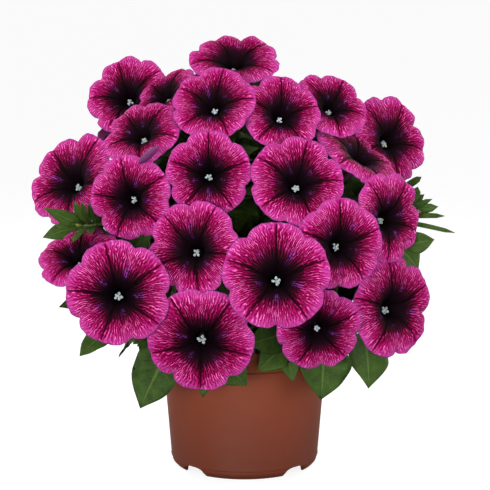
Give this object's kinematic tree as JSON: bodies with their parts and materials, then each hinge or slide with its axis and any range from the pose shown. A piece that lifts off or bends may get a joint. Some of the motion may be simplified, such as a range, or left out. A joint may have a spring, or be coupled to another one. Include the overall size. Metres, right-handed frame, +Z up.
{
  "type": "potted petunia",
  "caption": "Potted bedding plant: a round dome of five-lobed funnel flowers on leafy stems that spring from the soil of a tapered nursery pot with a collared rim.",
  "frame": {"origin": "on the ground under the middle of the pot, where the pot's foot rests", "axes": "+Z up the pot's axis, -Y towards the front that the picture shows, +X to the right of it"},
  "size_m": [0.2981, 0.2766, 0.3063],
  "materials": {
    "pot": "satin",
    "compost": "matte",
    "petals": "matte",
    "foliage": "matte"
  },
  "bodies": {
    "root": {"pot": "pot", "soil": "compost", "bloom_01": "petals", "bloom_02": "petals", "bloom_03": "petals", "bloom_04": "petals", "bloom_05": "petals", "bloom_06": "petals", "bloom_07": "petals", "bloom_08": "petals", "bloom_09": "petals", "bloom_10": "petals", "bloom_11": "petals", "bloom_12": "petals", "bloom_13": "petals", "bloom_14": "petals", "bloom_15": "petals", "bloom_16": "petals", "bloom_17": "petals", "bloom_18": "petals", "bloom_19": "petals", "bloom_20": "petals", "bloom_21": "petals", "bloom_22": "petals", "bloom_23": "petals", "bloom_24": "petals", "bloom_25": "petals", "bloom_26": "petals", "bloom_27": "petals", "bloom_28": "petals", "bloom_29": "petals", "bloom_30": "petals", "bloom_31": "petals", "bloom_32": "petals", "bloom_33": "petals", "bloom_34": "petals", "bloom_35": "petals", "bloom_36": "petals", "bloom_37": "petals", "bloom_38": "petals", "bloom_39": "petals", "bloom_40": "petals", "stem_left": "foliage", "stem_front_left": "foliage", "stem_front": "foliage", "stem_front_right": "foliage", "stem_right": "foliage", "stem_far_right": "foliage", "stem_back_right": "foliage", "stem_back": "foliage", "stem_back_middle": "foliage", "stem_back_left": "foliage", "stem_far_left": "foliage"}
  },
  "joints": []
}
